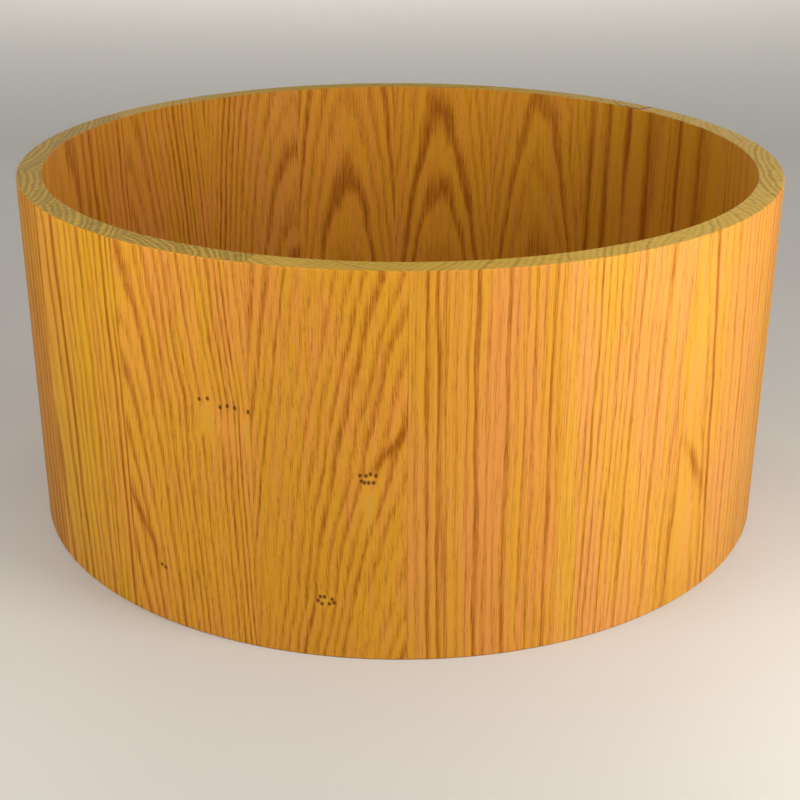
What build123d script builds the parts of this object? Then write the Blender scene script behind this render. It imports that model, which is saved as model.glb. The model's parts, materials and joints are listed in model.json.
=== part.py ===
"""A bare stave-built drum shell: oak staves glued edge to edge into a ring, then turned round
inside and out, with both ends cut square and their corners just eased."""

import os

from build123d import *

os.makedirs("parts", exist_ok=True)

# Driving dimensions, in millimetres and degrees. The shell stands on its lower edge at z = 0 and its
# axis is Z.
outside_diameter = 353.0  # a nominal 14 inch drumhead and its hoop slide over this
depth = 165.0  # nominal 6 1/2 inches, along the grain
wall = 11.3  # nominal 7/16 inch, after turning
stave_count = 18
front_joint_angle = -90.0  # one glue joint faces straight along -Y

# The eased corners of both rims
outer_corner_ease = 0.7
inner_corner_ease = 0.4

# The glue between two staves
glue_thickness = 0.1
glue_recess = 0.03  # the set glue stays this far back from the turned and sanded faces

outer_radius = outside_diameter / 2
inner_radius = outer_radius - wall
middle_radius = outer_radius - wall / 2
stave_angle = 360 / stave_count


def joint_plane(number):
    """The plane of one glue joint: its x runs outward, its y runs up the shell's axis, and its normal
    points clockwise as seen from above. Joints are counted anticlockwise from the front."""
    angle = front_joint_angle + number * stave_angle
    return Plane.XZ.rotated((0, 0, angle))


def wall_section(plane, setback=0.0):
    """The wall's cross-section with its eased corners, on a joint's plane and set back all round."""
    with BuildSketch(plane) as section:
        with Locations((middle_radius, depth / 2)):
            Rectangle(wall, depth)
        fillet(section.vertices().group_by(Axis.X)[0], inner_corner_ease)
        fillet(section.vertices().group_by(Axis.X)[-1], outer_corner_ease)
        if setback > 0:
            offset(amount=-setback)
    return section.sketch


# Each stave is the wall's section swept round from one joint to the next, with both edges mitred back
# by half the glue, parallel to the joint.
for number in range(stave_count):
    right_joint = joint_plane(number)
    left_joint = joint_plane(number + 1)
    with BuildPart() as stave:
        revolve(wall_section(right_joint), axis=Axis.Z, revolution_arc=stave_angle)
        split(bisect_by=right_joint.offset(-glue_thickness / 2), keep=Keep.BOTTOM)
        split(bisect_by=left_joint.offset(glue_thickness / 2), keep=Keep.TOP)
    stave.part.label = f"stave_{number + 1:02d}"
    export_step(stave.part, f"parts/{stave.part.label}.step")

# The set glue: one thin film in each joint, just short of the shell's faces.
with BuildPart() as glue_lines:
    for number in range(stave_count):
        extrude(wall_section(joint_plane(number), glue_recess), amount=glue_thickness / 2, both=True)
glue_lines.part.label = "glue_lines"
export_step(glue_lines.part, "parts/glue_lines.step")
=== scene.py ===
"""The looks of a bare drum shell built from oak staves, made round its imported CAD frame.

Each stave is a piece of its own, swept round the shell's axis, with the figure of the board that
it was sawn from. A board's figure is a stack of rings round the tree's heart, so each stave says
only where the heart ran, how it leaned and how wide the rings are."""

import json
import math

import bpy
from mathutils import Matrix, Vector


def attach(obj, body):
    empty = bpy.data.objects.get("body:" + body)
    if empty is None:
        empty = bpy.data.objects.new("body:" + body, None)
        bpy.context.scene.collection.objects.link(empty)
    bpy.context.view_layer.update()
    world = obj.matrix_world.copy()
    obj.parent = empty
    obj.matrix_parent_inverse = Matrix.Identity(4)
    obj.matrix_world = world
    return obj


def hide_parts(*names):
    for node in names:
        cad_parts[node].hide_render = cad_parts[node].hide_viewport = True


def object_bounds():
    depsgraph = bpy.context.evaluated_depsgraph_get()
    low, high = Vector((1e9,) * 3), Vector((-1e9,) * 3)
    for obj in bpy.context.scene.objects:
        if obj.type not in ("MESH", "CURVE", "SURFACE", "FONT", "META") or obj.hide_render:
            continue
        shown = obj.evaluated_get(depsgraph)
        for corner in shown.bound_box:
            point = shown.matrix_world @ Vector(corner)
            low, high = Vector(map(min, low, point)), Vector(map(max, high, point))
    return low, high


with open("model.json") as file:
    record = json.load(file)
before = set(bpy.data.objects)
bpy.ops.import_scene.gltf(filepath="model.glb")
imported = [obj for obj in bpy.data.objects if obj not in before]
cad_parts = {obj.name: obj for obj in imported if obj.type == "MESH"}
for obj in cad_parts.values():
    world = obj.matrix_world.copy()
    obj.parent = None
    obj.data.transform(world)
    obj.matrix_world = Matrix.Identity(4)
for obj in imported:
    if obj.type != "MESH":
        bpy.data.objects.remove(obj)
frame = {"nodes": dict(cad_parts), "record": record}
CAD_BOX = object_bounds()

bl_info = {
    "name": "Stave Drum Shell",
    "version": (1, 0, 0),
    "blender": (4, 5, 0),
    "location": "3D View > Sidebar > Drum Shell",
    "description": "Builds an oak stave drum shell on its CAD frame, and the studio it stands in",
    "category": "Object",
}

MM = 0.001
MOUNTS = {mount["name"]: mount for mount in frame["record"]["mounts"]}
OUTSIDE = MOUNTS["outside_for_heads"]["dims"]
INSIDE = MOUNTS["inside_for_hoops"]["dims"]
STAVES = sorted(name for name in frame["nodes"] if name.startswith("stave_"))
GLUE = "glue_lines"
DEPTH = CAD_BOX[1].z - CAD_BOX[0].z
FRONT_JOINT = -90.0  # degrees from +X; one glue joint faces straight along -Y
LAMP_AIM = 0.12  # height of the point on the shell's axis that the lamps are turned to
TANGENT_BENDS = (math.radians(3), math.radians(11))  # the edges where a wall meets its easing
JOINT_BEND = math.radians(60)  # the edges of the joint faces bend more than this
ARC_POINTS = 33  # points along a stave's arc
EASE_POINTS = 6  # points round an eased corner
LOOK_ASIDE = 0.3 * MM  # how far to +X of the shell's axis the camera looks


# ---------------------------------------------------------------- settings

class ShellSizes(bpy.types.PropertyGroup):
    """The turned shell, read from the CAD frame"""

    outer_radius: bpy.props.FloatProperty(
        name="Outer radius", description="Radius of the turned outside", subtype="DISTANCE",
        default=OUTSIDE["r_mm"] * MM)
    inner_radius: bpy.props.FloatProperty(
        name="Inner radius", description="Radius of the turned inside", subtype="DISTANCE",
        default=INSIDE["r_mm"] * MM)
    depth: bpy.props.FloatProperty(
        name="Depth", description="Height of the shell, along the grain", subtype="DISTANCE",
        default=DEPTH)
    outer_ease: bpy.props.FloatProperty(
        name="Outer ease", description="Rounding of the outer corners of both rims",
        subtype="DISTANCE", default=DEPTH / 2 - OUTSIDE["length_mm"] * MM / 2)
    inner_ease: bpy.props.FloatProperty(
        name="Inner ease", description="Rounding of the inner corners of both rims",
        subtype="DISTANCE", default=DEPTH / 2 - INSIDE["length_mm"] * MM / 2)
    glue_gap: bpy.props.FloatProperty(
        name="Glue gap", description="Thickness of the glue between two staves",
        subtype="DISTANCE", default=0.1 * MM)


class OakLooks(bpy.types.PropertyGroup):
    """Colours and depths of the bare oak"""

    golden: bpy.props.FloatVectorProperty(
        name="Golden wood", description="Plain wood between two ring lines", subtype="COLOR",
        size=4, min=0, max=1, default=(0.660, 0.300, 0.024, 1))
    rosy: bpy.props.FloatVectorProperty(
        name="Rosy wood", description="Plain wood in the pinker streaks", subtype="COLOR",
        size=4, min=0, max=1, default=(0.690, 0.270, 0.052, 1))
    line: bpy.props.FloatVectorProperty(
        name="Ring line", description="Open-pored wood at the start of each ring", subtype="COLOR",
        size=4, min=0, max=1, default=(0.385, 0.115, 0.003, 1))
    pore: bpy.props.FloatVectorProperty(
        name="Pore", description="Open pores and the specks of pin knots", subtype="COLOR",
        size=4, min=0, max=1, default=(0.110, 0.026, 0.002, 1))
    end_pale: bpy.props.FloatVectorProperty(
        name="Pale end grain", description="Sanded end grain between the ring lines",
        subtype="COLOR", size=4, min=0, max=1, default=(0.575, 0.355, 0.044, 1))
    end_olive: bpy.props.FloatVectorProperty(
        name="Olive end grain", description="End grain where the pores are open",
        subtype="COLOR", size=4, min=0, max=1, default=(0.25, 0.145, 0.010, 1))
    pore_depth: bpy.props.FloatProperty(
        name="Pore depth", description="Depth of the open pores", subtype="DISTANCE",
        default=0.06 * MM)


class StudioSettings(bpy.types.PropertyGroup):
    """Floor, lamps and camera"""

    floor: bpy.props.FloatVectorProperty(
        name="Floor", description="Colour of the plain floor", subtype="COLOR", size=4,
        min=0, max=1, default=(0.60, 0.59, 0.575, 1))
    floor_size: bpy.props.FloatProperty(
        name="Floor size", description="Side of the square floor", subtype="DISTANCE", default=10.0)
    sky: bpy.props.FloatProperty(
        name="Room light", description="Strength of the even light of the room", default=0.17)
    key: bpy.props.FloatProperty(
        name="Key light", description="Power of the softbox at the right", subtype="POWER",
        default=1.78)
    fill: bpy.props.FloatProperty(
        name="Fill light", description="Power of the softbox at the left", subtype="POWER",
        default=0.68)
    back: bpy.props.FloatProperty(
        name="Back lights", description="Power of each of the two softboxes behind",
        subtype="POWER", default=0.30)
    overhead: bpy.props.FloatProperty(
        name="Overhead light", description="Power of the large softbox above", subtype="POWER",
        default=38.0)
    wash: bpy.props.FloatProperty(
        name="Floor lights", description="Power of each lamp that lights the floor all round",
        subtype="POWER", default=30.0)
    lens: bpy.props.FloatProperty(
        name="Lens", description="Focal length on a 36 mm sensor", unit="CAMERA", default=64.37)
    distance: bpy.props.FloatProperty(
        name="Distance", description="From the camera to the point it looks at",
        subtype="DISTANCE", default=0.7260)
    elevation: bpy.props.FloatProperty(
        name="Elevation", description="Angle of the camera above the horizon", subtype="ANGLE",
        default=math.radians(23.29))
    azimuth: bpy.props.FloatProperty(
        name="Azimuth", description="Turn of the camera round the shell from -Y",
        subtype="ANGLE", default=math.radians(-1.1))
    roll: bpy.props.FloatProperty(
        name="Roll", description="Tilt of the camera about its own axis", subtype="ANGLE",
        default=math.radians(0.22))
    look_height: bpy.props.FloatProperty(
        name="Look height", description="Height of the point that the camera looks at",
        subtype="DISTANCE", default=38.7 * MM)


# ---------------------------------------------------------------- nodes and shader maths

def add_node(tree, kind, settings, values):
    """Adds a node: its settings first, then the value or link of each socket by identifier."""
    made = tree.nodes.new(kind)
    for name, value in (settings or {}).items():
        setattr(made, name, value)
    sockets = {socket.identifier: socket for socket in made.inputs}
    for name, value in values.items():
        source = value.socket if isinstance(value, Signal) else value
        if isinstance(source, bpy.types.NodeSocket):
            tree.links.new(source, sockets[name])
        else:
            sockets[name].default_value = source
    return made


class Signal:
    """One socket of a recipe, so that shader maths reads as plain sums."""

    def __init__(self, recipe, socket):
        self.recipe = recipe
        self.socket = socket

    def __add__(self, other):
        return self.recipe.maths("ADD", self, other)

    __radd__ = __add__

    def __mul__(self, other):
        return self.recipe.maths("MULTIPLY", self, other)

    __rmul__ = __mul__

    def __sub__(self, other):
        return self.recipe.maths("SUBTRACT", self, other)

    def __rsub__(self, other):
        return self.recipe.maths("SUBTRACT", other, self)

    def __neg__(self):
        return self.recipe.maths("MULTIPLY", self, -1.0)


class Recipe:
    """A material's node tree while it is written down."""

    def __init__(self, name):
        self.material = bpy.data.materials.new(name)
        self.material.use_nodes = True
        self.tree = self.material.node_tree
        self.tree.nodes.clear()

    def node(self, kind, settings=None, **values):
        return add_node(self.tree, kind, settings, values)

    def out(self, made, name=None):
        """The output of a node, by name, or its first one."""
        return Signal(self, made.outputs[name or 0])

    def maths(self, operation, first, second=0.0, clamp=False):
        made = self.node("ShaderNodeMath", {"operation": operation, "use_clamp": clamp},
                         Value=first, Value_001=second)
        return self.out(made)

    def ramp(self, value, low, high, start=0.0, end=1.0):
        """start below low, end above high, and a smooth passage between them."""
        made = self.node("ShaderNodeMapRange", {"interpolation_type": "SMOOTHSTEP"}, Value=value,
                         **{"From Min": low, "From Max": high, "To Min": start, "To Max": end})
        return self.out(made)

    def bell(self, *offsets):
        """1 where every offset is nought, and falling softly away from there."""
        squares = offsets[0] * offsets[0]
        for offset in offsets[1:]:
            squares = squares + offset * offset
        return self.maths("EXPONENT", -squares)

    def mix(self, share, first, second):
        """A blend of two colours."""
        made = self.node("ShaderNodeMix", {"data_type": "RGBA"},
                         Factor_Float=share, A_Color=first, B_Color=second)
        return Signal(self, next(s for s in made.outputs if s.identifier == "Result_Color"))

    def vector(self, x=0.0, y=0.0, z=0.0):
        return self.out(self.node("ShaderNodeCombineXYZ", X=x, Y=y, Z=z))

    def axes(self, vector):
        made = self.node("ShaderNodeSeparateXYZ", Vector=vector)
        return [self.out(made, name) for name in "XYZ"]

    def noise(self, vector, scale=1.0, detail=0.0, roughness=0.5, output="Fac"):
        made = self.node("ShaderNodeTexNoise", Vector=vector, Scale=scale, Detail=detail,
                         Roughness=roughness)
        return self.out(made, output)

    def finish(self, bump=None, **surface):
        """Closes the recipe with one Principled surface."""
        if bump is not None:
            surface["Normal"] = self.out(bump)
        shader = self.node("ShaderNodeBsdfPrincipled", **surface)
        end = self.tree.nodes.new("ShaderNodeOutputMaterial")
        self.tree.links.new(shader.outputs[0], end.inputs["Surface"])
        return self.material


# ---------------------------------------------------------------- the boards

BOARD_SEED = 37.0  # how far apart the noise of two neighbouring boards is read
WANDER = (3.0, 2.0)  # how far the heart strays, across the stave and behind it, in millimetres
YEAR_RIPPLES = 0.5  # how far a ring waves about its circle, as a share of a year
YEAR_VARIES = 0.8  # how unlike the widths of the years are
EARLY_SWELLS = (0.0, 0.30)  # the share of a year over which its open-pored wood sets in
EARLY_FADES = (0.32, 0.85)  # the share over which it gives way to dense wood
LIGHTEST_YEAR = 0.30  # how strong the faintest year is beside the strongest

# slow noise: how often it changes in a millimetre across the board, into it and up it
WANDER_RATES = (0.030, 0.030, 0.009)
RIPPLE_RATES = (0.16, 0.16, 0.035)

# noise drawn out along the grain: how often it changes in a millimetre sideways from the heart,
# towards it, and up the board
LINE_STREAKS = (0.8, 0.8, 0.04)
DASH_STREAKS = (2.6, 1.6, 0.14)
HAIR_STREAKS = (1.9, 0.5, 0.018)
BLUSH_STREAKS = (0.35, 0.3, 0.010)

# the range over which each thing comes in
BLUSHES = (0.32, 0.68)
PORES_OPEN = (0.60, 0.74)
END_FACES = (0.88, 0.98)  # how squarely a surface has to face up or down to be end grain

# how strongly each thing shows
LINES_SHOW = 0.90
DASHES_SHOW = 0.7
HAIR_SHOWS = 1.7
PORES_SHOW = 0.25
SPECKS_SHOW = 0.9
HOLES_SHOW = 1.3
RAYS_SHOW = 1.2
PATCH_PALEST = 0.55
SPECK = (0.95, 1.15)  # half the width and half the height of a pin knot's speck, in millimetres
PALE_END = (0.0, 0.62)  # the end grain of most boards: between its ring lines, and the lines
DARK_SHADED_END = (0.8, -0.95)  # end grain with pale ring lines, dark between them: partly the wood, partly painted shade on the left-hand side of the rim
DRY_WOOD_SHINE = 0.15  # Specular IOR Level of unlacquered wood

# the rim's torn crack is not cut into the rim: it is drawn as painted shade, as dark as the pores
TEAR_INSET = 0.9  # how far the rim's torn crack runs from the inner edge, in millimetres
TEAR_WIDTH = 0.65  # half its width
TEAR_JAGS = 2.4  # how far its edge wanders
TEAR_SHADE_SHOWS = 1.8


def board(heart, rise, ring, phase=0.0, tone=(1, 1, 1), **extras):
    """How a stave lay in its tree, in millimetres. heart is where the tree's centre ran at half
    height: across the stave from its middle, and behind its outer face. rise is how far the heart
    drifts back over each millimetre of height. ring is the width of a year's growth, phase shifts
    the rings by a share of one, and tone multiplies the colour of the plain wood.
    Extras: faint is how strongly the rings show. end is how dark the end grain is between its
    ring lines, and how much darker the lines are, or paler if negative. dark names rings that
    stand out, each by a point on the outer face that it runs through, how much, its width, and
    how far up and down it shows. patches are soft fields: place, half width, half height, how
    many millimetres they shift sideways for each one upwards, and how pale they are, or how dark
    if negative. pushes bend the grain round knots: place, how far, and over what width and
    height. specks are the small dark dots of pin knots. tear is where the rim's torn crack starts
    and stops, across the stave."""
    return dict(heart=heart, rise=rise, ring=ring, phase=phase, tone=tone, **extras)


BOARDS = {
    1: board((-60, 48), 0.010, 2.9, 0.0, tone=(1.02, 1.04, 1.1),
             dark=[(-17.5, 80, 0.4, 0.6, 200), (-24.0, 80, 0.3, 0.5, 200)]),
    2: board((60, -46), -0.035, 2.7, 0.5, tone=(1.05, 1.14, 1.4), faint=0.7,
             dark=[(-2.5, 100, 0.3, 0.6, 90), (14.2, 80, 0.4, 0.6, 120)],
             patches=[(27, 40, 4, 60, 0.0, -0.35)]),
    3: board((-41, 46), 0.050, 3.2, 0.1, tone=(1.02, 1.08, 1.3), faint=0.65,
             dark=[(-11.0, 93, 0.6, 0.7, 200)],
             patches=[(-24, 115, 5, 40, 0.05, 0.5), (-21, 66, 3.0, 16, -0.55, -0.8),
                      (-26, 35, 6, 20, 0.0, 0.6)]),
    4: board((40, -120), 0.020, 3.0, tone=(1.0, 1.05, 1.2), faint=0.7),
    5: board((-30, -120), 0.020, 3.0, tone=(0.97, 1.06, 0.5), faint=0.8),
    6: board((-50, -90), -0.020, 3.2, 0.6, tone=(0.97, 1.06, 0.5), faint=0.6,
             patches=[(19, 80, 1.8, 200, 0.0, -0.8), (0, 80, 5, 200, 0.0, -0.6),
                      (10, 80, 2.5, 200, 0.0, 0.6), (-18, 80, 5, 200, 0.0, 0.4)]),
    7: board((-55, -90), -0.015, 3.4, 0.2, tone=(0.98, 1.06, 0.6), faint=0.6,
             patches=[(25, 80, 2, 200, 0.0, -0.8), (14, 80, 2.4, 200, 0.0, -0.8),
                      (0, 150, 2.4, 30, 0.0, -0.8), (-15, 80, 2.6, 200, 0.0, -0.8),
                      (19.5, 80, 2, 200, 0.0, 0.5), (7, 80, 3, 200, 0.0, 0.5),
                      (-7, 80, 3, 200, 0.0, 0.5)],
             tear=(-6.0, 11.3)),
    8: board((-1, -40), -0.062, 2.8, 0.2, tone=(1.02, 1.06, 0.7)),
    9: board((2, -40), -0.062, 2.8, 0.38, tone=(1.03, 1.06, 0.7)),
    10: board((0, -40), -0.062, 2.8, 0.38, tone=(1.04, 1.07, 0.7)),
    11: board((-36, -40), -0.090, 2.6),
    12: board((44, -40), -0.080, 2.4),
    # staves 13 to 17 run round the left-hand side of the rim: the dark of their end grain is partly
    # painted shade
    13: board((60, -130), -0.030, 2.4, end=DARK_SHADED_END),
    14: board((-10, -110), -0.030, 2.8, end=DARK_SHADED_END),
    15: board((-31, -120), -0.020, 2.8, tone=(0.88, 0.88, 0.4), end=DARK_SHADED_END),
    16: board((-64, -90), -0.036, 2.8, 0.55, tone=(1.03, 1.18, 0.6), end=DARK_SHADED_END,
              dark=[(-9.5, 100, 0.5, 0.6, 200), (17.2, 80, 0.4, 0.6, 200), (26.0, 80, 0.35, 0.6, 200)]),
    17: board((-55, -50), -0.100, 2.5, 0.0, tone=(1.08, 1.12, 0.9), faint=0.85, end=DARK_SHADED_END,
              dark=[(-9.5, 101, 0.35, 0.6, 80), (1.4, 99, 0.35, 0.6, 60), (-22.7, 89, 0.3, 0.6, 50)],
              patches=[(9.8, 99, 1.0, 6, 0.0, 1.1), (13.6, 98, 1.2, 8, -0.1, 1.1),
                       (18.5, 97, 0.9, 6, 0.0, 0.8), (22.5, 96, 1.1, 7, -0.1, 0.9),
                       (29.0, 96, 1.2, 8, -0.1, 1.0),
                       (-23.5, 44, 2.2, 13, -0.52, -0.9)],
              pushes=[(14, 107, 4.0, 16, 25)],
              specks=[(8.9, 107.1), (12.7, 108.0), (18.2, 105.3), (21.3, 106.3), (24.5, 106.0),
                      (30.1, 105.2), (-15.5, 26.9), (-13.6, 26.0)]),
    18: board((38, 57), 0.117, 2.4, 0.3, tone=(1.03, 1.06, 0.8), faint=0.85,
              dark=[(19.0, 121, 0.35, 0.7, 30), (22.4, 60, 0.3, 0.7, 22)],
              patches=[(25.0, 95, 2.4, 9, 0.70, -1.0), (16.0, 70, 2.4, 9, 0.0, 1.1),
                       (15.5, 81.5, 3.4, 2.0, 0.0, 0.7), (-2.0, 26.0, 3.0, 3.0, 0.0, 0.5)],
              pushes=[(15, 82, 3.0, 12, 18), (-2, 26, 2.0, 10, 14)],
              specks=[(12.5, 82.8), (14.8, 82.8), (16.5, 83.6), (18.6, 83.0), (13.0, 80.5),
                      (14.2, 79.9), (15.8, 79.9), (17.7, 80.0), (-3.9, 28.0), (-2.2, 28.0),
                      (-4.8, 26.1), (-3.3, 24.8), (-0.3, 25.0), (0.9, 27.2), (1.6, 25.7)]),
}


def ring_radius(lie, sizes, across, height):
    """How far from the heart the ring lies that comes out at this point of the outer face."""
    outside = sizes.outer_radius / MM
    behind = outside - math.sqrt(outside ** 2 - across ** 2)
    drift = (height - sizes.depth / MM / 2) * lie["rise"]
    return math.hypot(across - lie["heart"][0], lie["heart"][1] + drift - behind)


def toned(colour, tone):
    """A colour with each of its parts multiplied, and held below white."""
    return (*(min(1.0, part * share) for part, share in zip(colour, tone)), 1.0)


def field(wood, across, height, place, wide, tall, lean=0.0):
    """A soft oval field round a place on the board, which may lean to one side."""
    above = height - place[1]
    beside = across - place[0] - lean * above
    return wood.bell(beside * (1 / wide), above * (1 / tall))


def highest(wood, signals):
    """The highest of several signals."""
    found = signals[0]
    for signal in signals[1:]:
        found = wood.maths("MAXIMUM", found, signal)
    return found


def tear(wood, ends, sizes, across, behind, ragged):
    """A thin torn crack on the rim, whose mask carries painted shade: it crosses the wall at the first
    end, and runs along the inner edge from there to the second."""
    start, stop = ends
    inward = sizes.outer_radius / MM - behind
    from_axis = wood.maths("SQRT", across * across + inward * inward)
    jagged = (ragged - 0.5) * TEAR_JAGS
    along = (from_axis - sizes.inner_radius / MM - TEAR_INSET + jagged) * (1 / TEAR_WIDTH)
    within = wood.ramp(across, start - 0.5, start) * wood.ramp(across, stop - 3, stop, 1, 0)
    through = (across - start + jagged) * (1 / TEAR_WIDTH)
    return wood.maths("MAXIMUM", wood.bell(along) * within, wood.bell(through))


class Grain:
    """Where each point of a stave lies in its tree, in millimetres. turn is the angle of the
    stave's middle from the front, in radians."""

    def __init__(self, wood, lie, number, turn, sizes):
        self.wood = wood
        self.seed = BOARD_SEED * number
        self.spot = wood.node("ShaderNodeTexCoord")
        upright = wood.node("ShaderNodeMapping", Vector=wood.out(self.spot, "Object"),
                            Rotation=(0, 0, -turn), Scale=(1 / MM,) * 3,
                            Location=(0, sizes.outer_radius / MM, 0))
        self.across, self.behind, self.height = wood.axes(wood.out(upright))

        # the heart wanders a little, and knots push the grain aside
        slow = self.slowly(WANDER_RATES, detail=1.0, output="Color")
        wander_across, wander_behind, self.blush = wood.axes(slow)
        from_heart = self.across - lie["heart"][0] + (wander_across - 0.5) * WANDER[0]
        for place_across, place_height, far, wide, tall in lie.get("pushes", ()):
            beside = (self.across - place_across) * (1 / wide)
            above = wood.maths("ABSOLUTE", self.height - place_height) * (1 / tall)
            from_heart = from_heart - far * wood.maths("EXPONENT", -(beside * beside + above))
        drift = lie["heart"][1] - sizes.depth / MM / 2 * lie["rise"]
        into_heart = self.height * lie["rise"] + drift - self.behind
        into_heart = into_heart + (wander_behind - 0.5) * WANDER[1]
        self.from_heart = from_heart
        self.into_heart = into_heart
        self.radius = wood.maths("SQRT", from_heart * from_heart + into_heart * into_heart)
        self.spin = wood.maths("ARCTAN2", from_heart, into_heart)

    def slowly(self, rates, **kind):
        """Noise that changes slowly over the board, whatever way its grain runs."""
        return self.wood.noise(self.wood.vector(self.across * rates[0] + self.seed,
                                                self.behind * rates[1], self.height * rates[2]),
                               **kind)

    def streaks(self, rates, seeded, **kind):
        """Noise that is drawn out along the grain. seeded is the axis that the board's own number
        shifts, so that no two boards are alike."""
        places = [self.from_heart * rates[0], self.into_heart * rates[1], self.height * rates[2]]
        places[seeded] = places[seeded] + self.seed
        return self.wood.noise(self.wood.vector(*places), **kind)


def early_wood(wood, lie, grain):
    """The open-pored wood that starts each year, which has its own width and weight."""
    ripple = (grain.slowly(RIPPLE_RATES) - 0.5) * YEAR_RIPPLES
    year = grain.radius * (1 / lie["ring"]) + ripple + lie["phase"]
    year = year + (wood.noise(wood.vector(year * 0.5, grain.seed)) - 0.5) * YEAR_VARIES
    count = wood.maths("FLOOR", year)
    weight = wood.out(wood.node("ShaderNodeTexWhiteNoise", {"noise_dimensions": "1D"},
                                W=count + grain.seed), "Value")
    part = year - count
    early = wood.ramp(part, *EARLY_SWELLS) * wood.ramp(part, *EARLY_FADES, 1.0, 0.0)
    return early * (LIGHTEST_YEAR + (1 - LIGHTEST_YEAR) * weight)


def ring_lines(wood, lie, grain, early, sizes):
    """The lines that the rings draw on the faces, with this board's own darker and paler places."""
    line = early * (0.40 + 1.2 * grain.streaks(LINE_STREAKS, 0, detail=1.0))
    line = line * lie.get("faint", 1.0)
    for place_across, place_height, much, width, reach in lie.get("dark", ()):
        away = grain.radius - ring_radius(lie, sizes, place_across, place_height)
        beyond = grain.height - place_height
        line = line + much * wood.bell(away * (1 / width), beyond * (1 / reach))
    for place_across, place_height, wide, tall, lean, much in lie.get("patches", ()):
        line = line - much * field(wood, grain.across, grain.height, (place_across, place_height),
                                   wide, tall, lean)
    return line


def board_face(wood, lie, grain, looks, line, dashes, hair, pores):
    """The colour of the faces: streaky plain wood, ring lines, fibre, pores and pin knots."""
    golden, rosy = (toned(colour, lie["tone"]) for colour in (looks.golden, looks.rosy))
    slow = grain.streaks(BLUSH_STREAKS, 2, detail=1.0)
    plain = wood.mix(wood.ramp(slow + (grain.blush - 0.5) * 0.8, *BLUSHES), golden, rosy)
    fibre = (dashes - 0.5) * DASHES_SHOW + (hair - 0.5) * HAIR_SHOWS
    shade = wood.maths("ADD", line * LINES_SHOW, fibre, clamp=True)
    face = wood.mix(shade, plain, looks.line)
    if "patches" in lie:
        face = wood.mix(wood.ramp(line, -1.2, -0.1, PATCH_PALEST, 0.0), face, looks.end_pale)
    face = wood.mix(pores * PORES_SHOW, face, looks.pore)
    if "specks" in lie:
        dots = [wood.ramp(field(wood, grain.across, grain.height, place, *SPECK), 0.25, 0.85)
                for place in lie["specks"]]
        face = wood.mix(highest(wood, dots) * SPECKS_SHOW, face, looks.pore)
    return face


def end_grain(wood, lie, grain, looks, early, sizes, end):
    """The colour of the sawn rims: rings, rays, open pores, and the painted shade of the torn crack if
    there is one. end is how squarely the surface faces up or down."""
    holes = wood.noise(wood.vector(grain.across * 2.0, grain.behind * 2.0, grain.seed), detail=2.0,
                       roughness=0.6)
    rays = wood.noise(wood.vector(grain.radius * 0.10, grain.spin * 75.0, grain.seed), detail=1.0)
    between, rings = lie.get("end", PALE_END)
    flecks = (holes - 0.5) * HOLES_SHOW + (rays - 0.5) * RAYS_SHOW
    sawn = wood.maths("ADD", early * rings + between, flecks, clamp=True)
    colour = wood.mix(sawn, looks.end_pale, looks.end_olive)
    if "tear" in lie:
        # painted shade where the torn crack lies, as dark as the pores
        torn_shade = tear(wood, lie["tear"], sizes, grain.across, grain.behind, holes)
        colour = wood.mix(torn_shade * end * TEAR_SHADE_SHOWS, colour, looks.pore)
    return colour


def oak(name, number, turn, sizes, looks):
    """Bare oak for one stave. turn is the angle of its middle from the front, in radians."""
    lie = BOARDS[number]
    wood = Recipe(name)
    grain = Grain(wood, lie, number, turn, sizes)
    early = early_wood(wood, lie, grain)
    line = ring_lines(wood, lie, grain, early, sizes)
    dashes = grain.streaks(DASH_STREAKS, 0, detail=1.5, roughness=0.6)
    hair = grain.streaks(HAIR_STREAKS, 1, detail=2.0, roughness=0.6)
    pores = wood.ramp(dashes + line * 0.14, *PORES_OPEN)

    # the end grain shows where the surface faces up or down
    facing = wood.maths("ABSOLUTE", wood.axes(wood.out(grain.spot, "Normal"))[2])
    end = wood.ramp(facing, *END_FACES)
    colour = wood.mix(end, board_face(wood, lie, grain, looks, line, dashes, hair, pores),
                      end_grain(wood, lie, grain, looks, early, sizes, end))
    relief = line * -0.3 - pores * 0.7 + hair * 0.5
    bump = wood.node("ShaderNodeBump", Height=relief, Strength=0.6, Distance=looks.pore_depth)
    gloss = 0.46 + 0.12 * line + 0.08 * dashes + 0.15 * end
    return wood.finish(bump=bump, **{"Base Color": colour, "Roughness": gloss,
                                     "Specular IOR Level": DRY_WOOD_SHINE})


def set_glue(looks):
    """Hardened wood glue: amber, a little glossy, clouded and full of fine bubbles."""
    glue = Recipe("set_wood_glue")
    place = glue.out(glue.node("ShaderNodeTexCoord"), "Object")
    clouds = glue.noise(place, scale=220.0, detail=3.0)
    bubbles = glue.noise(place, scale=2600.0, detail=1.0)
    amber = glue.mix(clouds, looks.golden, looks.rosy)
    colour = glue.mix(glue.ramp(bubbles, 0.58, 0.66) * 0.4, amber, looks.line)
    bump = glue.node("ShaderNodeBump", Height=bubbles, Strength=0.4, Distance=0.02 * MM)
    return glue.finish(bump=bump, **{"Base Color": colour, "Roughness": 0.35 + 0.2 * clouds})


# ---------------------------------------------------------------- geometry

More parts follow.
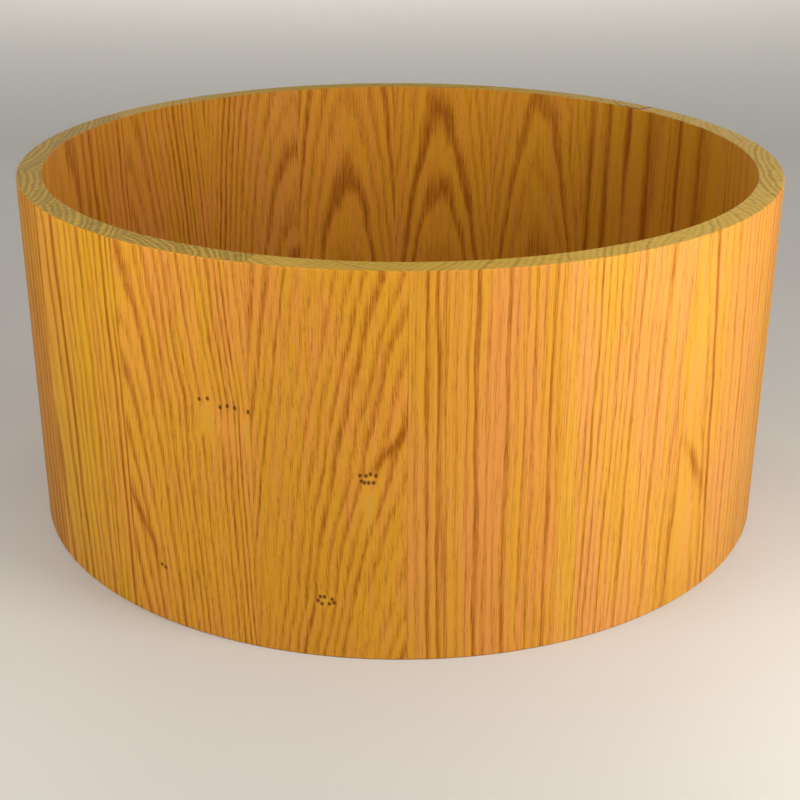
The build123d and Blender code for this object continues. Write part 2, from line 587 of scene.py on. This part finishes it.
class Plan:
    """A Geometry Nodes tree while it is written down."""

    def __init__(self, name):
        self.tree = bpy.data.node_groups.new(name, "GeometryNodeTree")
        self.tree.interface.new_socket("Geometry", in_out="OUTPUT", socket_type="NodeSocketGeometry")
        self.entry = self.tree.nodes.new("NodeGroupInput")

    def input(self, name, kind="NodeSocketFloat"):
        """Adds a named input and returns its socket."""
        self.tree.interface.new_socket(name, in_out="INPUT", socket_type=kind)
        return self.entry.outputs[name]

    def node(self, kind, settings=None, **values):
        return add_node(self.tree, kind, settings, values)

    def maths(self, operation, first, second=0.0):
        return self.node("ShaderNodeMath", {"operation": operation},
                         Value=first, Value_001=second).outputs[0]

    def either(self, operation, first, second):
        return self.node("FunctionNodeBooleanMath", {"operation": operation},
                         Boolean=first, Boolean_001=second).outputs[0]

    def over(self, value, limit):
        return self.node("FunctionNodeCompare", {"data_type": "FLOAT", "operation": "GREATER_THAN"},
                         A=value, B=limit).outputs[0]


def stave_plan():
    """A wall's cross-section with eased corners, swept round the axis from one joint to the next."""
    plan = Plan("stave_sweep")
    inner = plan.input("Inner Radius")
    outer = plan.input("Outer Radius")
    depth = plan.input("Depth")
    inner_ease = plan.input("Inner Ease")
    outer_ease = plan.input("Outer Ease")
    start = plan.input("Start")
    sweep = plan.input("Sweep")
    steps = plan.input("Steps", "NodeSocketInt")
    finish = plan.input("Finish", "NodeSocketMaterial")
    wall = plan.maths("SUBTRACT", outer, inner)
    centre = plan.maths("MULTIPLY", plan.maths("ADD", outer, inner), 0.5)

    section = plan.node("GeometryNodeCurvePrimitiveQuadrilateral", {"mode": "RECTANGLE"},
                        Width=wall, Height=depth)
    spot = plan.node("ShaderNodeSeparateXYZ", Vector=plan.node("GeometryNodeInputPosition").outputs[0])
    ease = plan.node("GeometryNodeSwitch", {"input_type": "FLOAT"},
                     Switch=plan.over(spot.outputs["X"], 0.0),
                     **{"False": inner_ease, "True": outer_ease})
    eased = plan.node("GeometryNodeFilletCurve", {"mode": "POLY"}, Curve=section.outputs[0],
                      Count=EASE_POINTS, Radius=ease.outputs[0])
    arc = plan.node("GeometryNodeCurveArc", {"mode": "RADIUS"}, Resolution=steps, Radius=centre,
                    **{"Start Angle": start, "Sweep Angle": sweep})
    upright = plan.node("GeometryNodeSetCurveNormal", {"mode": "Z_UP"}, Curve=arc.outputs[0])
    swept = plan.node("GeometryNodeCurveToMesh", Curve=upright.outputs[0],
                      **{"Profile Curve": eased.outputs[0], "Fill Caps": True})
    lift = plan.node("ShaderNodeCombineXYZ", Z=plan.maths("MULTIPLY", depth, 0.5))
    raised = plan.node("GeometryNodeTransform", Geometry=swept.outputs[0],
                       Translation=lift.outputs[0])

    # the walls keep their exact normals: an edge is sharp where a wall meets its eased corner,
    # and where the eased corner meets a joint face
    bend = plan.node("GeometryNodeInputMeshEdgeAngle").outputs["Unsigned Angle"]
    tangent = plan.either("AND", plan.over(bend, TANGENT_BENDS[0]),
                          plan.either("NOT", plan.over(bend, TANGENT_BENDS[1]), False))
    sharp = plan.either("OR", tangent, plan.over(bend, JOINT_BEND))
    smooth = plan.node("GeometryNodeSetShadeSmooth", {"domain": "EDGE"},
                       Geometry=raised.outputs[0],
                       **{"Shade Smooth": plan.either("NOT", sharp, False)})
    whole = plan.node("GeometryNodeRealizeInstances", Geometry=smooth.outputs[0])
    dressed = plan.node("GeometryNodeSetMaterial", Geometry=whole.outputs[0], Material=finish)
    leave = plan.tree.nodes.new("NodeGroupOutput")
    plan.tree.links.new(dressed.outputs[0], leave.inputs[0])
    return plan.tree


def grow(tree, name, **values):
    """Runs a Geometry Nodes tree with these inputs and returns the result as a plain mesh object."""
    seedling = bpy.data.objects.new(name + "_plan", bpy.data.meshes.new(name + "_plan"))
    bpy.context.scene.collection.objects.link(seedling)
    modifier = seedling.modifiers.new("grow", "NODES")
    modifier.node_group = tree
    for item in tree.interface.items_tree:
        if item.in_out == "INPUT":
            modifier[item.identifier] = values[item.name.replace(" ", "_").lower()]
    graph = bpy.context.evaluated_depsgraph_get()
    mesh = bpy.data.meshes.new_from_object(seedling.evaluated_get(graph), depsgraph=graph)
    mesh.name = name
    bpy.data.objects.remove(seedling)
    piece = bpy.data.objects.new(name, mesh)
    bpy.context.scene.collection.objects.link(piece)
    return piece


# ---------------------------------------------------------------- operators

class DRUMSHELL_OT_staves(bpy.types.Operator):
    """Sweep the oak staves round the shell and give each the figure of its board"""

    bl_idname = "drumshell.staves"
    bl_label = "Make Staves"
    bl_options = {"REGISTER", "UNDO"}

    def execute(self, context):
        sizes = context.scene.shell_sizes
        looks = context.scene.oak_looks
        plan = stave_plan()
        step = math.tau / len(STAVES)
        middle_radius = (sizes.outer_radius + sizes.inner_radius) / 2
        gap = sizes.glue_gap / middle_radius
        for index, node in enumerate(STAVES):
            number = index + 1
            start = math.radians(FRONT_JOINT) + index * step
            finish = oak(f"oak_board_{number:02d}", number, (index + 0.5) * step, sizes, looks)
            piece = grow(plan, f"oak_stave_{number:02d}", inner_radius=sizes.inner_radius,
                         outer_radius=sizes.outer_radius, depth=sizes.depth,
                         inner_ease=sizes.inner_ease, outer_ease=sizes.outer_ease,
                         start=start + gap / 2, sweep=step - gap, steps=ARC_POINTS, finish=finish)
            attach(piece, "root")
            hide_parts(node)
        return {"FINISHED"}


class DRUMSHELL_OT_glue(bpy.types.Operator):
    """Give the glue lines between the staves the look of hardened glue"""

    bl_idname = "drumshell.glue"
    bl_label = "Finish Glue Lines"
    bl_options = {"REGISTER", "UNDO"}

    def execute(self, context):
        mesh = frame["nodes"][GLUE].data
        mesh.materials.clear()
        mesh.materials.append(set_glue(context.scene.oak_looks))
        return {"FINISHED"}


def softbox(name, power, azimuth, reach, height, size, spread=180, down=False):
    """A square soft lamp turned towards the shell, or straight down. azimuth is in degrees from -Y
    towards +X, reach is the lamp's distance from the shell's axis, height its height above the
    floor, and spread the full angle of its cone of light."""
    lamp = bpy.data.lights.new(name, "AREA")
    lamp.energy = power
    lamp.size = size
    lamp.spread = math.radians(spread)
    lamp.color = (1.0, 0.97, 0.90)
    obj = bpy.data.objects.new(name, lamp)
    turn = math.radians(azimuth)
    obj.location = (math.sin(turn) * reach, -math.cos(turn) * reach, height)
    away = Vector((0, 0, 1)) if down else obj.location - Vector((0, 0, LAMP_AIM))
    obj.rotation_euler = away.to_track_quat("Z", "Y").to_euler()
    obj.visible_camera = False
    bpy.context.scene.collection.objects.link(obj)


class DRUMSHELL_OT_studio(bpy.types.Operator):
    """Set up the pale floor, the soft lamps and the camera"""

    bl_idname = "drumshell.studio"
    bl_label = "Set Up Studio"
    bl_options = {"REGISTER", "UNDO"}

    def execute(self, context):
        studio = context.scene.studio
        side = studio.floor_size / 2
        mesh = bpy.data.meshes.new("floor")
        corners = [(-side, -side, 0), (side, -side, 0), (side, side, 0), (-side, side, 0)]
        mesh.from_pydata(corners, [], [(0, 1, 2, 3)])
        floor = bpy.data.objects.new("floor", mesh)
        context.scene.collection.objects.link(floor)
        paint = Recipe("matt_floor")
        mottle = paint.noise(paint.out(paint.node("ShaderNodeTexCoord"), "Object"), scale=2.0)
        shade = paint.mix(mottle * 0.15, studio.floor, (0.48, 0.47, 0.46, 1))
        mesh.materials.append(paint.finish(**{"Base Color": shade, "Roughness": 0.9}))

        world = bpy.data.worlds.new("room")
        world.use_nodes = True
        sky = world.node_tree.nodes["Background"]
        sky.inputs["Color"].default_value = (1.0, 0.98, 0.95, 1)
        sky.inputs["Strength"].default_value = studio.sky
        context.scene.world = world
        softbox("key", studio.key, 45, 0.48, 0.27, 0.22)
        softbox("fill", studio.fill, -42, 0.42, 0.26, 0.20)
        softbox("back_right", studio.back, 155, 0.9, 0.32, 0.40, spread=70)
        softbox("back_left", studio.back, -155, 0.9, 0.32, 0.40, spread=70)
        softbox("overhead", studio.overhead, 0, 0.01, 3.5, 6.0)
        for azimuth in (0, 90, 180, 270):
            softbox(f"wash_{azimuth}", studio.wash, azimuth, 2.8, 2.2, 2.4, spread=90, down=True)
        context.scene.view_settings.view_transform = "Standard"

        turned, raised = studio.azimuth, studio.elevation
        level = Vector((math.cos(turned), math.sin(turned), 0))
        outward = Vector((math.sin(turned), -math.cos(turned), 0))
        back = outward * math.cos(raised) + Vector((0, 0, math.sin(raised)))
        rising = back.cross(level)
        right = level * math.cos(studio.roll) + rising * math.sin(studio.roll)
        up = rising * math.cos(studio.roll) - level * math.sin(studio.roll)
        lens = bpy.data.cameras.new("camera")
        lens.lens = studio.lens
        lens.sensor_width = 36.0
        camera = bpy.data.objects.new("camera", lens)
        target = Vector((LOOK_ASIDE, 0, studio.look_height))
        turn = Matrix((right, up, back)).transposed().to_4x4()
        camera.matrix_world = Matrix.Translation(target + back * studio.distance) @ turn
        context.scene.collection.objects.link(camera)
        context.scene.camera = camera
        return {"FINISHED"}


class DRUMSHELL_PT_panel(bpy.types.Panel):
    """Lists the steps that build the shell"""

    bl_label = "Drum Shell"
    bl_space_type = "VIEW_3D"
    bl_region_type = "UI"
    bl_category = "Drum Shell"

    def draw(self, context):
        layout = self.layout
        groups = (context.scene.shell_sizes, context.scene.oak_looks, context.scene.studio)
        for group, operator in zip(groups, STEPS):
            column = layout.column(align=True)
            for name in group.__annotations__:
                column.prop(group, name)
            column.operator(operator)


STEPS = ("drumshell.staves", "drumshell.glue", "drumshell.studio")
CLASSES = (ShellSizes, OakLooks, StudioSettings, DRUMSHELL_OT_staves, DRUMSHELL_OT_glue,
           DRUMSHELL_OT_studio, DRUMSHELL_PT_panel)


def register():
    for each in CLASSES:
        bpy.utils.register_class(each)
    bpy.types.Scene.shell_sizes = bpy.props.PointerProperty(type=ShellSizes)
    bpy.types.Scene.oak_looks = bpy.props.PointerProperty(type=OakLooks)
    bpy.types.Scene.studio = bpy.props.PointerProperty(type=StudioSettings)


def unregister():
    del bpy.types.Scene.studio
    del bpy.types.Scene.oak_looks
    del bpy.types.Scene.shell_sizes
    for each in reversed(CLASSES):
        bpy.utils.unregister_class(each)


def main():
    register()
    bpy.ops.drumshell.staves()
    bpy.ops.drumshell.glue()
    bpy.ops.drumshell.studio()


if __name__ == "__main__":
    main()
